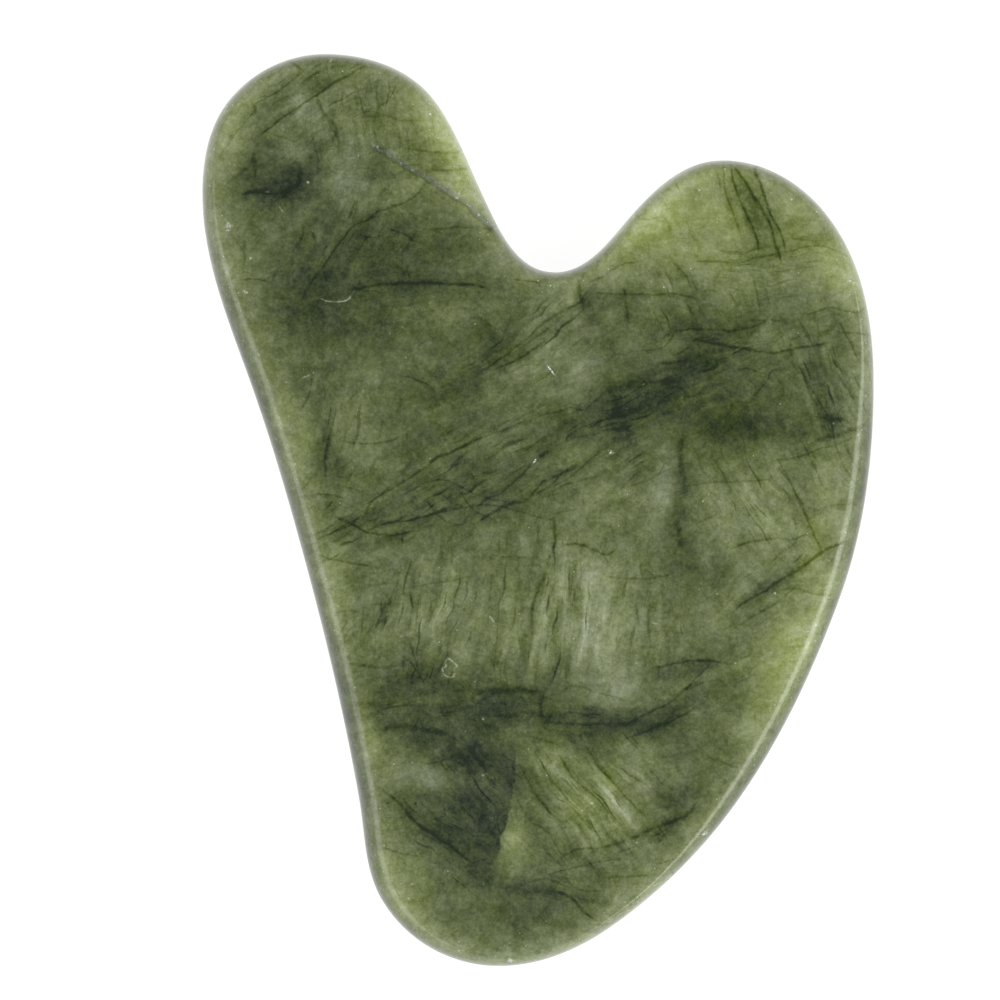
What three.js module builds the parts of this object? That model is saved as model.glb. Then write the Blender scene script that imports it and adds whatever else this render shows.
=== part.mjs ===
// A gua sha scraper: one flat slab of polished green jade, cut to an uneven heart.
// Two rounded lobes of different reach stand either side of a notch, and both long sides run
// down to one rounded toe. Every edge is rounded over from face to face, so nothing on it is sharp.
//
// Millimetres. The slab lies flat: +X runs across it, +Y points from the toe to the lobes and +Z
// is up. The origin is the middle of the slab's footprint, on the lower face.

import * as THREE from "three";

// Driving dimensions
const THICKNESS = 6;             // between the two flat faces
const EDGE_LAND = 0.6;           // upright band left at mid-thickness, where the two roundings meet
const EDGE_ROUND_WIDTH = 1.4;    // how far each rounding reaches in from the outline
const EDGE_ROUND_STEPS = 6;      // facets in the rounding of one face
const STRETCH_STEPS = 8;         // facets in one stretch of the outline

const JADE_COLOUR = 0x66744c;
const JADE_ROUGHNESS = 0.22;

// The outline, clockwise as seen from above: the places where it passes, and the direction it runs
// there, in degrees from +X. X is measured from the middle of the slab, and Y from the tip of the toe.
const OUTLINE = [
  { place: "tall lobe, outermost", x: -30, y: 69, heading: 90 },
  { place: "tall lobe, shoulder", x: -27.5, y: 77.5, heading: 50 },
  { place: "tall lobe, crown", x: -19, y: 81.5, heading: 0 },
  { place: "tall lobe, inner shoulder", x: -9, y: 77, heading: -55 },
  { place: "slope into the notch", x: -5, y: 69, heading: -65 },
  { place: "notch, bottom", x: 1.5, y: 62, heading: 0 },
  { place: "slope out of the notch", x: 7, y: 65.5, heading: 50 },
  { place: "short lobe, crown", x: 16.5, y: 72, heading: 0 },
  { place: "short lobe, shoulder", x: 25.5, y: 67.5, heading: -50 },
  { place: "bowed side, outermost", x: 30, y: 52, heading: -90 },
  { place: "bowed side, upper third", x: 27, y: 33, heading: -110 },
  { place: "bowed side, lower third", x: 18, y: 15, heading: -125 },
  { place: "bowed side, start of the toe", x: 6.5, y: 3.5, heading: -145 },
  { place: "toe, tip", x: -3.5, y: 0, heading: 180 },
  { place: "toe, heel", x: -14, y: 6, heading: 120 },
  { place: "hollow side, lower end", x: -16, y: 15, heading: 100 },
  { place: "hollow side, middle", x: -20.5, y: 35, heading: 105 },
  { place: "hollow side, upper end", x: -26, y: 53, heading: 110 },
];

// How far the Bezier handles of one stretch reach, so that a stretch that turns evenly from one
// place to the next is an arc of a circle.
function handleReach(from, to) {
  const chord = Math.hypot(to.x - from.x, to.y - from.y);
  const turn = Math.abs(to.heading - from.heading) % 360;
  const halfTurn = THREE.MathUtils.degToRad(Math.min(turn, 360 - turn)) / 2;
  return (chord * (4 / 3) * Math.tan(halfTurn / 2)) / (2 * Math.sin(halfTurn));
}

// A point that far ahead of a place on the outline, or behind it if the reach is negative.
function alongHeading(place, reach) {
  const angle = THREE.MathUtils.degToRad(place.heading);
  return [place.x + reach * Math.cos(angle), place.y + reach * Math.sin(angle)];
}

function outlineShape(places) {
  const shape = new THREE.Shape();
  shape.moveTo(places[0].x, places[0].y);
  places.forEach((from, i) => {
    const to = places[(i + 1) % places.length];
    const reach = handleReach(from, to);
    shape.bezierCurveTo(...alongHeading(from, reach), ...alongHeading(to, -reach), to.x, to.y);
  });
  return shape;
}

// The slab: the outline with a quarter-ellipse rounding at each face and a narrow land between.
function slabGeometry() {
  const geometry = new THREE.ExtrudeGeometry(outlineShape(OUTLINE), {
    curveSegments: STRETCH_STEPS,
    depth: EDGE_LAND,
    steps: 1,
    bevelEnabled: true,
    bevelThickness: (THICKNESS - EDGE_LAND) / 2,
    bevelSize: EDGE_ROUND_WIDTH,
    bevelOffset: -EDGE_ROUND_WIDTH,
    bevelSegments: EDGE_ROUND_STEPS,
  });
  geometry.center();
  geometry.translate(0, 0, THICKNESS / 2);
  return geometry;
}

function makeJadeStone() {
  const jade = new THREE.MeshStandardMaterial({
    color: JADE_COLOUR,
    roughness: JADE_ROUGHNESS,
    metalness: 0,
  });
  const stone = new THREE.Mesh(slabGeometry(), jade);
  stone.name = "jade_stone";
  return stone;
}

const scraper = new THREE.Group();
scraper.add(makeJadeStone());

export default scraper;
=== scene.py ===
"""A gua sha scraper: one slab of polished green jade lying on a white table, seen from above.

The stone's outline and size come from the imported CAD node, and its surface here is a finer mesh of
the same shape. The jade's pattern is laid out in millimetres in the stone's own frame: soft clouds,
zones of fibres, dark veins, flecks and one healed crack. Each is painted on the mesh's points as
numbers, such as the distance from the nearest vein, and the material draws the fine detail from them.
"""

import math

import bpy
import numpy as np
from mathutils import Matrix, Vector, geometry


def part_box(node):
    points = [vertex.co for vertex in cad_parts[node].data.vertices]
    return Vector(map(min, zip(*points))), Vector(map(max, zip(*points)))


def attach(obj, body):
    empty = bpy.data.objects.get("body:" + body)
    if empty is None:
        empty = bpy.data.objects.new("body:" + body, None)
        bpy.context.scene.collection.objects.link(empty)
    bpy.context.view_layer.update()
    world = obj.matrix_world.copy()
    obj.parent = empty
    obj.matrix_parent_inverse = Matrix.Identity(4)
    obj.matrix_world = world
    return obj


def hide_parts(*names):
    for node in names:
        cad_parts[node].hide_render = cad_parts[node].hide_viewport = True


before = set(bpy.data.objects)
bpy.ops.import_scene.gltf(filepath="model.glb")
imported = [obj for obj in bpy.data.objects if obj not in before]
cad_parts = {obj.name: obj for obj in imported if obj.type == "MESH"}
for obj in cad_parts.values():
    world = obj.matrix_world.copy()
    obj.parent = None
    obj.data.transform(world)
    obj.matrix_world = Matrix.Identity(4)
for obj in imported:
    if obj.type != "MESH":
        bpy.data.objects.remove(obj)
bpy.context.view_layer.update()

NODE = "jade_stone"
MM = 0.001
LOW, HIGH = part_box(NODE)
MIDDLE_Z = (LOW.z + HIGH.z) / 2
HALF_THICKNESS = (HIGH.z - LOW.z) / 2

# The view: how wide a strip of the table the picture shows, and where on it the picture is centred
VIEW_WIDTH = 89.4 * MM
VIEW_CENTRE = (-3.4 * MM, 0.9 * MM)
CAMERA_HEIGHT = 0.8
SENSOR_WIDTH = 36.0

# The stone's mesh
OUTLINE_POINTS = 720
RIM_LOOPS = 14
# How far the rounded edge reaches in: more on the two long flanks than on the lobes and the toe's tip
RIM_WIDTH = 0.9 * MM
FLANK_RIM_WIDTH = 1.7 * MM
# Each flank's middle and half its spread, in degrees round the stone's middle
FLANKS = [(198, 58), (-22, 43)]
FLANK_BLEND = 14
# The share by which that reach swells and shrinks, and how far apart the swellings are
RIM_WIDTH_CHANGE = 0.12
RIM_CHANGE_LENGTH = 14 * MM
# How far apart a flat face's inner points are, and the share of that by which they stay off its edge
FACE_SPACING = 0.37 * MM
FACE_CLEARANCE = 0.6
# The depth and length of the waves that polishing leaves on the flat faces
POLISH_WAVE = 0.02 * MM
POLISH_WAVE_LENGTH = 11 * MM
# Shallow natural pits in the top face and its rim, in mm: x, y, radius, depth
PITS = [(-26, 28.3, 0.6, 0.06), (-24.4, 28.3, 0.8, 0.08), (-2.5, -40.1, 0.5, 0.1), (12, -32.4, 0.5, 0.12)]


# ---------------------------------------------------------------- the jade's pattern
# Places and lengths are in mm from the middle of the stone, x to the short lobe's side and y towards
# the lobes. Lightness and warmth are in steps of 1/255 of the screen scale: warmer is yellower.

BASE_LIGHTNESS = 99
# Dark tones and veins go down to about this lightness, and the last few steps are softened
DARKEST = 42
DARKEST_BLEND = 9
# What the polish itself reflects of the room, which the colour underneath is darkened by
SHEEN = 0.008
# No part of a colour goes below this: before that, on the screen scale, and after it, as linear light
DARKEST_VALUE = 2
DARKEST_LIGHT = 0.002
# Jade's colour: deep jade is close to grey, the body of the stone is yellow-green, and white marks
# are nearly colourless. How far yellow stands over blue, and green over red
DEEP_YELLOW = 18
BODY_YELLOW = 36
GREEN = 9
GREEN_PER_WARMTH = 0.15
# Deep jade turns into the body's colour between the first two lightnesses, and loses its colour
# between the second two
DEEP_TO_BODY = (45, 110)
BODY_TO_WHITE = (150, 255)
# The eye's weights for green with blue, and for blue: they keep a colour near its lightness
GREEN_AND_BLUE_WEIGHT = 0.7874
BLUE_WEIGHT = 0.0722
# The lightnesses and the two warmths at which the material takes jade's colour
TONE_STOPS = (30, 50, 65, 80, 97, 120, 150, 200, 255)
COOL = -26
WARM = 20

# The tones a cloud can have: how much lighter and how much warmer it makes the stone
DARK = (-28, -1)
SHADE = (-19, 1)
OLIVE = (-17, 4)
PALE = (17, 1)
LIME = (20, 7)
MILKY = (31, -8)
YELLOW = (32, 12)
# Where clouds overlap, the most that they can lighten or darken the stone together
CLOUD_LIMIT = 50
# Painted light: the rim is made paler, as if light came through the thin stone: how much the outline
# itself would be, how fast that fades towards the middle, and the distance from the outline up to which
# it is even
RIM_PAINTED_LIGHT = 100
RIM_PAINTED_LIGHT_FADE = 1.15
RIM_PAINTED_LIGHT_EVEN = 1.4
# Painted shade: the outline itself is darker again: how much, and how far in that has gone, on the lobes
# and the toe's tip and then on the flanks
EDGE_PAINTED_SHADE_START = 0.1
LOBE_PAINTED_SHADE, LOBE_PAINTED_SHADE_END = 8, 0.9
FLANK_PAINTED_SHADE, FLANK_PAINTED_SHADE_END = 48, 1.6

# How much lighter and how much warmer each texture makes the stone at its full strength
PEBBLES = (19, -7)
MOTTLE = (15, 0)
GRAIN = (22, -2.5)
WARM_DRIFT = (0, 5)
WEB = (-10, 0)
BANDS = (14, 0)
STREAKS = (18, -2)
HAIRS = (-30, 3)
DARK_BLOCK = (-19, -1)
PALE_BLOCK = (48, 9)
CRACK_GREY = (-9, -26)
CRACK_BEADS = (68, 0)
CRACK_SHADE = (-24, 0)
SCRATCH_WHITE = (80, -20)
# The same for each step of a vein's darkness and of a fleck's lightness
VEIN = (-1, 0.25)
FLECK = (1, -0.2)
# Pale specks in the stone, and finer sparkle that is painted glint, strongest near the rim: how much
# lighter near the rim and further in, and how far in it has changed from one to the other
SPECK_AND_GLINT_RIM = 1
SPECK_LIGHT, SPECK_REACH = (72, 52), 2.6
GLINT_LIGHT, GLINT_REACH = (66, 18), 3.2
SPECK_WARMTH = -10

# Soft clouds by tone: x, y, reach along, reach across, angle
CLOUDS = [
    (DARK, [
        # tall lobe's smudge, and the blotch under the notch
        (-23.5, 29.5, 4, 2, 0),
        (-22.5, 28.5, 2, 1, 0),
        (4, 18.5, 1.5, 1, 100),
        # middle of the upper half, and the spot at the right side
        (9.5, 10.5, 5.5, 2, 30),
        (7, 8, 2, 1, -50),
        (26, 8, 2, 1.5, 0),
        # belt above the toe
        (-2.5, -17.5, 3, 1.5, 0),
        (6.5, -19, 5.5, 1.5, 0),
        # toe block, the smudge above it and the band under it
        (-6, -26, 4.5, 3.5, -70),
        (-8, -21, 3.5, 1.5, -10),
        (0, -34.5, 5.5, 1.5, -10),
    ]),
    (SHADE, [
        # broad masses: lower half of the tall lobe, and the belt
        (-18, 21, 8, 6, 60),
        (-3, -17.5, 13, 3, 0),
        # smaller ones
        (-12, 20, 8, 1.5, 0),
        (-20.5, 17, 3.5, 3, 90),
        (-11.5, 5.5, 1.5, 1, -40),
        (-8, 1, 9, 2.5, 5),
        (18, 7, 4.5, 1.5, 0),
        (-19, 5, 2, 1, 80),
        (14, 13, 4, 2, 20),
        (19, 26.5, 5.5, 1.5, -68),
        (12.5, -1.5, 7.5, 1, 90),
        (15.5, -5.5, 2, 1.5, -30),
        (22, -5.5, 4.5, 1, 40),
        (14, -13.5, 4, 1, 10),
        (-10, -15.5, 6, 2, 0),
        (11.5, -18, 3, 1, 30),
        (-12, -26.5, 3, 1, -30),
        (-7.5, -29.5, 4, 1.5, -40),
        (-5, -32, 2, 1.5, -50),
        (-2.5, -36.5, 3.5, 1.5, 0),
        (11.5, -27, 4, 1, 30),
    ]),
    (OLIVE, [
        # broad mass across the middle of the right half
        (14.5, 9.5, 9, 5, 0),
        # smaller ones
        (-18.5, 38.5, 4, 1.5, 20),
        (-9.5, 31, 3, 1, -20),
        (-10, 24, 5, 2, 0),
        (-13, 16.5, 4, 2, 0),
        (-4.5, 15.5, 3, 2, 60),
        (-8, 9.5, 3.5, 3, 90),
        (0.5, 6, 3, 1.5, 30),
        (16, 16.5, 4, 1.5, 0),
        (18, 7, 4.5, 2, 0),
        (8.5, 22.5, 3, 1, 20),
        (25, 24.5, 1.5, 1, -20),
        (-1, -24.5, 2.5, 1, -70),
    ]),
    (LIME, [
        # short lobe, tall lobe's inner shoulder and the rim of both flanks
        (16, 25, 9, 5.5, -10),
        (12, 25, 6, 3.5, 30),
        (24, 24, 3.5, 2, -50),
        (-10.5, 33, 5, 3.5, -60),
        (-27, 34, 5, 1.5, 70),
        (-22, 8, 6, 1.5, 108),
        (-18.5, -6, 5, 1.5, 105),
        (-14.5, -20, 4, 1, 100),
        (-12, -34, 5, 2.5, -55),
        (25, -4, 6, 2, 75),
        # toe fan
        (4.5, -25.5, 5, 3, -50),
    ]),
    (PALE, [
        # broad masses: right side and the pale middle
        (21, -2, 9, 6, -60),
        (2, -9, 10, 6, 0),
        (5.5, -10, 5.5, 4.5, 100),
        (15.5, 25, 3, 3, 0),
        # tall lobe
        (-16.5, 35, 3, 2, 90),
        (-12, 28.5, 3.5, 1.5, 10),
        (-26, 21, 4, 1.5, 110),
        # left side
        (-8.5, 18, 2, 1.5, 20),
        (-15.5, 7.5, 3, 3, 90),
        (-10, -8, 5, 3, 0),
        # between the notch and the pale middle
        (1, 13.5, 3, 2, 30),
        (21, 16, 1.5, 1, 0),
        (5.5, 1.5, 3.5, 3, 0),
        # short lobe and right side
        (14, 21, 6, 2, 0),
        (22, 20.5, 3, 1.5, 0),
        (19, 0, 4.5, 3.5, 70),
        (26, 1.5, 3.5, 1.5, 80),
        (24, -8, 3.5, 1.5, 70),
        (16, -9.5, 2, 2, 0),
        (21.5, -11, 2.5, 1.5, 50),
        # toe
        (18, -19, 2, 1.5, 60),
        (9.5, -23, 2.5, 1.5, -60),
        (4.5, -24.5, 5, 3, -50),
    ]),
    (MILKY, [
        (-20.5, 35.5, 2, 1, 110),
        (-22, 31, 1.5, 1, 0),
        (-17, 29.5, 2, 1.5, 90),
        (4.5, 12.5, 2, 1.5, 60),
        (11, 2, 4, 1, 90),
        (5, -11, 4, 1.5, 95),
        (7, -16, 3.5, 1.5, 10),
        (-9.5, -24, 3, 1, 0),
    ]),
    (YELLOW, [
        (-6.5, 30, 3.5, 1.5, -60),
        (22.5, -12, 3, 1.5, 60),
        (-8.5, 34, 4.5, 1.5, -60),
        (10.5, 25.5, 4, 1.5, 45),
        (27, 20.5, 3, 1.5, -80),
        (20.5, -16, 4, 2, 60),
    ]),
]
# How far noise pushes the clouds' edges about, and the size of its bumps
CLOUD_WARP = 0.9
CLOUD_WARP_SIZE = 3.5

# Zones of fine parallel fibres, in two lists that cross each other: x, y, reach along, reach across,
# angle, strength
FIBRES = [
    [
        (-20, 36.5, 6, 4, 37, 1.0),
        (-12, 31, 5, 3.5, 5, 0.6),
        (-8, 2.5, 10, 4, 30, 1.2),
        (0, 15.5, 7, 3.5, 38, 1.1),
        (10, 9, 8, 3, 22, 0.9),
        (18.8, 27, 5, 2.4, -65, 0.4),
        (12.5, 19, 4, 3, -60, 0.9),
        (26, 11, 7, 3.2, -66, 1.2),
        (-9.5, -9, 7, 6, 77, 1.2),
        (2, -9, 7.5, 7, 83, 1.6),
        (-10, -17.5, 7, 2.4, 8, 0.8),
        (3, -18.5, 8, 2, -3, 0.8),
        (5, -25.5, 6, 6, -52, 1.6),
        (-10, -28, 5, 3.5, -38, 0.9),
        (3, -35, 7, 3, -12, 0.7),
        (22, -6, 6, 2.5, 40, 0.9),
    ],
    [
        (-15, 35, 5, 6, 96, 0.9),
        (-17, 24, 8, 6, 60, 0.6),
        (-13, 20, 8, 3, 0, 0.6),
        (-17, 6, 6, 4, 75, 0.7),
        (-16, -2.5, 5, 3, 25, 1.0),
        (6, 5, 6, 5, 30, 0.9),
        (20, 22, 6, 4, 0, 0.8),
        (17, 14.5, 7, 2.5, 12, 0.9),
        (20, 1, 6, 5, -62, 1.0),
        (10.5, -10, 6, 3, 92, 0.8),
        (16, -15, 7, 3, 25, 0.8),
        (-15, -11, 4, 4, 45, 0.6),
        (-6, -24, 6, 3, -55, 0.9),
        (10, -30, 6, 3, 20, 0.8),
        (27, 0, 5, 3, 10, 0.6),
    ],
]
# Neighbouring zones take their fibres from parts of the noise that are this far apart
FIBRE_ZONE_STEP = 40
# How quickly the fibres come back on each side of the seam where two zones are equally strong
FIBRE_SEAM = 4

# Veins: half width, darkness (below 0 the vein is pale), and then points along the line
VEINS = [
    # tall lobe
    (0.10, 14, (-27.8, 32.9), (-26.5, 34)),
    (0.09, 18, (-16.3, 38.3), (-15.8, 36.3), (-15.3, 34.6), (-15.6, 33.2)),
    (0.09, 16, (-14.2, 38.6), (-14.4, 37), (-14.1, 35.8), (-14.3, 34.8)),
    (0.08, 14, (-16.7, 34.9), (-15.3, 35.5), (-13.9, 35.3), (-12.5, 34.8)),
    (0.08, 15, (-12.5, 38.1), (-13.2, 36.7), (-14.2, 35.8)),
    (0.08, 14, (-12.5, 34.1), (-12.3, 32.8), (-12.5, 31.4)),
    (0.09, 14, (-28.6, 31.1), (-27.2, 33.2), (-25.4, 35.3)),
    (0.09, 15, (-27.2, 24.4), (-26.1, 22.7), (-26.3, 21.5)),
    (0.12, 22, (-25.8, 35), (-25.1, 35.6), (-25.2, 36.2), (-23.5, 37.1), (-21.8, 38.4), (-20.8, 39.2)),
    (0.16, 24, (-22.1, 40), (-21.5, 39.6), (-20.9, 39)),
    (0.14, 34, (-24.4, 33.7), (-22, 35.5), (-20, 36.8), (-18.3, 38), (-16.5, 39), (-15.3, 39.6)),
    (0.14, 12, (-21, 38.2), (-19, 39.3), (-17, 39.6)),
    (0.13, 14, (-17, 36.9), (-14, 38.4)),
    (0.22, 20, (-19.7, 37), (-19.2, 35.5), (-18, 34), (-18.2, 33)),
    (0.2, 12, (-16.4, 38.8), (-16.3, 37.2), (-16, 35.6)),
    (0.2, 13, (-14.5, 37.1), (-14.2, 36.1), (-14.7, 34.4), (-14.5, 33.2)),
    (0.15, 10, (-12.3, 34.7), (-9.7, 34.7)),
    (0.13, 13, (-24.3, 33.7), (-22.1, 33), (-21.4, 32.7)),
    (0.13, 14, (-20.2, 24.8), (-19.8, 23.9)),
    (0.13, 11, (-12, 23.9), (-12.1, 21.5)),
    (0.15, 10, (-16.6, 34.8), (-14.8, 35.1), (-13.2, 35)),
    (0.18, 48, (-26.1, 28.2), (-25, 28.4), (-23.5, 28.2)),
    (0.26, 14, (-27.8, 29), (-26.6, 30), (-25.7, 30.6)),
    (0.24, 22, (-25.2, 32), (-25.4, 31), (-25.2, 29.8)),
    (0.3, 16, (-21.5, 31.3), (-21.1, 30), (-21.7, 28.8), (-22.8, 28.3)),
    (0.18, 26, (-16.1, 27.8), (-16.5, 26.8), (-16.9, 25.9)),
    (0.14, 22, (-16.4, 25.4), (-18.3, 23), (-19.2, 21.5)),
    (0.12, 10, (-19.2, 21.5), (-20.7, 19.8)),
    (0.17, 26, (-16.3, 25.4), (-15, 26), (-14, 27)),
    (0.14, 24, (-14.4, 26.6), (-12.5, 27.2), (-11, 28), (-10, 29.2)),
    (0.11, 16, (-16, 24.6), (-15, 24.3), (-13.8, 24.5)),
    (0.14, 22, (-13.5, 25.1), (-12, 24.6), (-11, 24)),
    (0.12, 13, (-9.7, 25), (-6.5, 25.2), (-3.7, 25)),
    (0.12, 20, (-20.3, 32.1), (-19.7, 31.9)),
    (0.13, 22, (-25.7, 25.4), (-25.2, 25.3), (-24.6, 24.8)),
    (0.10, 12, (-26.6, 22.4), (-26, 21.7)),
    (0.12, 24, (-26.3, 20.5), (-25.2, 20.6), (-24, 20.3)),
    (0.14, 15, (-12, 32.2), (-9, 31.9), (-7, 31.8)),
    (0.16, 18, (-9.7, 30.3), (-8, 30.3), (-6, 30.4)),
    (0.14, 10, (-11, 33.5), (-9.5, 34.4)),
    (0.10, 12, (-23, 26.6), (-22.6, 25.4)),
    (0.20, 26, (-16.4, 19.7), (-14, 20.1), (-10, 20.25), (-7, 20.1), (-5.5, 20), (-4.7, 19.7)),
    # left side
    (0.12, 22, (-12.3, 12), (-11, 11.7), (-9.5, 11)),
    (0.12, 16, (-16, 10.7), (-17, 9.5)),
    (0.12, 18, (-20.1, 12), (-20.5, 10), (-21.3, 8.8)),
    (0.12, 18, (-17.3, 6.1), (-15.5, 5.9), (-13.5, 6.1), (-12, 6.7)),
    (0.12, 16, (-9, 6.4), (-7, 7.4)),
    (0.16, 20, (-19, 3), (-18.9, 5), (-18.5, 7)),
    (0.12, 20, (-21, 1.9), (-20, 3.1)),
    (0.12, 22, (-21, 1.2), (-19, 1.4), (-17.3, 1.1)),
    (0.12, 16, (-17.4, 2.1), (-16, 1.8), (-15.2, 1.4)),
    (0.12, 18, (-20.2, -0.8), (-18.8, 0.2), (-18, 1.2)),
    (0.13, 24, (-19.8, -2.7), (-18, -1.8), (-16.7, -1.3), (-16, -0.7)),
    (0.15, 28, (-18, -0.7), (-16.5, -1.3), (-15, -2), (-13, -2.2), (-11, -1.9)),
    (0.14, 22, (-15.5, -0.5), (-14.6, 1), (-12, 2.5), (-10.5, 3.5), (-9, 4.7)),
    (0.18, 32, (-9.6, 4.2), (-9, 4.7), (-7.5, 5.3), (-5, 6.5)),
    (0.13, 18, (-5, 6.5), (-3, 7.2), (-1, 8)),
    (0.15, 24, (-15, -1.7), (-13, -1), (-11, -0.8), (-8, 0.2)),
    (0.13, 22, (-5.3, -1), (-4.2, -0.3)),
    (0.13, 22, (-19.6, -3.9), (-18.3, -4.4), (-16.5, -4.7), (-14, -5.2)),
    (0.12, 20, (-18.1, -9.1), (-16.5, -9), (-15.6, -9.3)),
    (0.11, 16, (-17.8, -11.5), (-17, -9.8)),
    (0.12, 14, (-11, -6.8), (-8, -6.3), (-5.8, -5.9)),
    (0.11, 15, (-14.1, -1.3), (-10.6, -0.7), (-7.9, 0), (-4.3, 0.5), (-0.7, -0.4), (1.5, -0.9)),
    (0.10, 18, (-12.3, 1.3), (-8.8, 2.7), (-5.2, 1.3), (-2.5, 0.7)),
    (0.09, 18, (-10, 0.8), (-8.3, -0.9), (-6.5, -1.4)),
    (0.09, 16, (-7, 1.8), (-5.8, 0.1), (-3.6, -1.1)),
    # fibres picked out of the pale middle
    (0.12, 16, (-3.4, -6.7), (-3.6, -10.7), (-3.9, -14.3)),
    (0.12, 18, (-12.1, -1.9), (-12.2, -3.2)),
    (0.12, 18, (-3.5, -2.4), (-3.4, -3.9)),
    (0.14, 14, (-7.7, -3.1), (-7.7, -4.8)),
    (0.14, 20, (-10.6, -8), (-10.9, -10.1)),
    (0.13, 20, (-9.5, -8.2), (-9.7, -9.2)),
    (0.12, 14, (-12.7, -6.7), (-13.4, -8.7), (-13.7, -10.1)),
    (0.13, 14, (-4.2, -5.5), (-4.2, -7.4), (-4.4, -8.4)),
    (0.14, 16, (-2, -8.4), (-2.2, -10.1), (-2.7, -11)),
    (0.18, 16, (0.2, -6.3), (-0.5, -8.7), (-0.6, -11.8), (-0.8, -12.9)),
    (0.2, 20, (-3.2, -12.3), (-3.7, -13.8)),
    (0.14, 16, (-7.8, -10.8), (-8, -12.5)),
    (0.12, 14, (-3.4, -4.1), (-0.6, -4.2)),
    (0.12, 11, (-15.2, -8.4), (-12.3, -8.4)),
    (0.12, 11, (-15.4, -6.7), (-13, -6.5)),
    (0.22, 14, (-17, -13.7), (-13.7, -14), (-11.7, -13.4)),
    (0.4, 14, (-16.4, -17.3), (-14.2, -17.3), (-12.8, -17.1)),
    (0.4, -13, (-10.4, -8.4), (-10.5, -10.6)),
    (0.4, -13, (-3.9, -9.9), (-4.2, -12.6)),
    (0.45, -14, (2.3, -4), (2.1, -7.8)),
    (0.4, -12, (-0.2, -4.8), (-0.5, -8)),
    (0.35, -11, (4.2, -4), (4.1, -6.4)),
    (0.45, -13, (0.8, -8.8), (0.5, -14)),
    (0.45, -12, (5.1, -9.6), (5, -14)),
    (0.35, -12, (9.2, -8.6), (9.3, -11.2)),
    # under the notch and across the middle
    (0.13, 20, (-2.2, 20.5), (-0.8, 20.4), (0, 20.2), (0.2, 19.8)),
    (0.22, 30, (3.6, 20.3), (3.8, 19), (4.1, 17.8)),
    (0.45, 18, (3.6, 19), (4.4, 18.2)),
    (0.2, 18, (7.7, 19.9), (7.8, 18.7), (8, 16.4)),
    (0.14, 18, (8.9, 14.2), (11.1, 14.5), (12.1, 15.8)),
    (0.13, 15, (12, 13.7), (13.7, 14.7)),
    (0.14, 16, (13.5, 21.1), (14.2, 19.5)),
    (0.4, 15, (6, 10.6), (8.5, 11.3), (11.9, 11.5)),
    (0.45, 30, (6.8, 7), (7.4, 7.2), (8.2, 7.6)),
    (0.34, 22, (13, 7), (12.65, 5.3), (12.8, 3.6), (13.2, 1.9)),
    (0.34, 16, (12.3, -0.7), (12.8, -3.6)),
    (0.12, 14, (15.4, 4.3), (15.8, 3.5)),
    (0.13, 13, (6.8, 0.5), (8.2, 0.7)),
    (0.15, 22, (-1.1, 0.8), (0.3, 2.4), (1.15, 2.8), (3.7, 4.3)),
    (0.14, 16, (1.5, 2.2), (3, 3.1), (5.4, 5.1)),
    (0.13, 14, (-0.2, -0.7), (3.4, 0.1)),
    (0.22, 24, (-5.2, -0.9), (-2.6, 0.5), (-1.1, 0.7)),
    (0.15, 18, (-5.2, 3.2), (-3.5, 3.6)),
    (0.13, 18, (4.6, 20.3), (6, 21), (7.5, 21.9), (8.8, 22.1)),
    (0.15, 24, (-5.2, 12.2), (-2.4, 14.2), (-1, 15.3), (0.3, 16.5), (2, 17.6), (4, 18.6)),
    (0.15, 22, (-4, 12.5), (-2, 13.4), (-1, 13.9), (0.5, 15)),
    (0.2, 24, (-5.3, 17.2), (-4.4, 16.6), (-4, 16.3)),
    (0.12, 18, (0.5, 8.5), (2, 8.8), (3, 9.2), (4, 8.9), (5, 9.7), (6, 10.5)),
    (0.24, 34, (-0.1, 4.6), (0.5, 5), (1.1, 5.3)),
    (0.13, 20, (-0.5, 4.3), (-2, 2.6), (-3.4, 1.4)),
    (0.14, 20, (-0.5, 1.3), (1.2, 2.3), (2, 3.2), (3.4, 3.8)),
    (0.13, 16, (2.2, 2.2), (4, 2.7), (5.5, 3.1)),
    (0.13, 18, (7.3, 1.9), (8.4, 2.9), (9.5, 3.7)),
    (0.12, 12, (3, 6.4), (5.5, 6.9), (8, 8)),
    (0.19, 30, (1.3, -0.6), (1.5, -2), (1.4, -3), (0.9, -4.5)),
    (0.19, 22, (0.9, -4.5), (0.6, -5.8), (-0.1, -7.5), (-0.7, -9.5)),
    (0.15, 26, (2.2, -3), (3.8, -3.1), (5.5, -3.8), (6.3, -3.9), (7, -3.4)),
    (0.13, 18, (6, -5.9), (8, -6.1), (10, -6.1), (12, -5.6)),
    (0.12, 14, (9.2, -6.8), (10.3, -6.4)),
    (0.28, 14, (3.3, -5), (3.4, -8), (3.1, -12)),
    (0.14, 16, (2.3, -15.6), (4, -15.8), (5.5, -16.3), (7.8, -17)),
    # short lobe
    (0.13, 18, (16.4, 30.9), (16.7, 28.3), (17.6, 25.9), (17.9, 24.9)),
    (0.15, 34, (17.05, 30.7), (17.75, 28.2), (18.8, 25.75), (19.5, 24), (19.6, 23)),
    (0.16, 38, (17.4, 30.6), (18.6, 29), (19.8, 27), (20.7, 25.4), (21, 24), (21.7, 22.1)),
    (0.16, 36, (18.95, 30.8), (20, 28.5), (20.5, 26.8), (21.5, 24.9), (22, 23)),
    (0.13, 22, (18.3, 29.5), (19.3, 27.5), (20.15, 26.1)),
    (0.12, 12, (15.9, 30.7), (16.2, 28.7)),
    (0.4, 12, (18.8, 27.5), (20, 25.2)),
    (0.22, 24, (20.9, 23.6), (21.6, 22.3)),
    (0.2, 10, (11, 26.5), (12, 24.5)),
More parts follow.
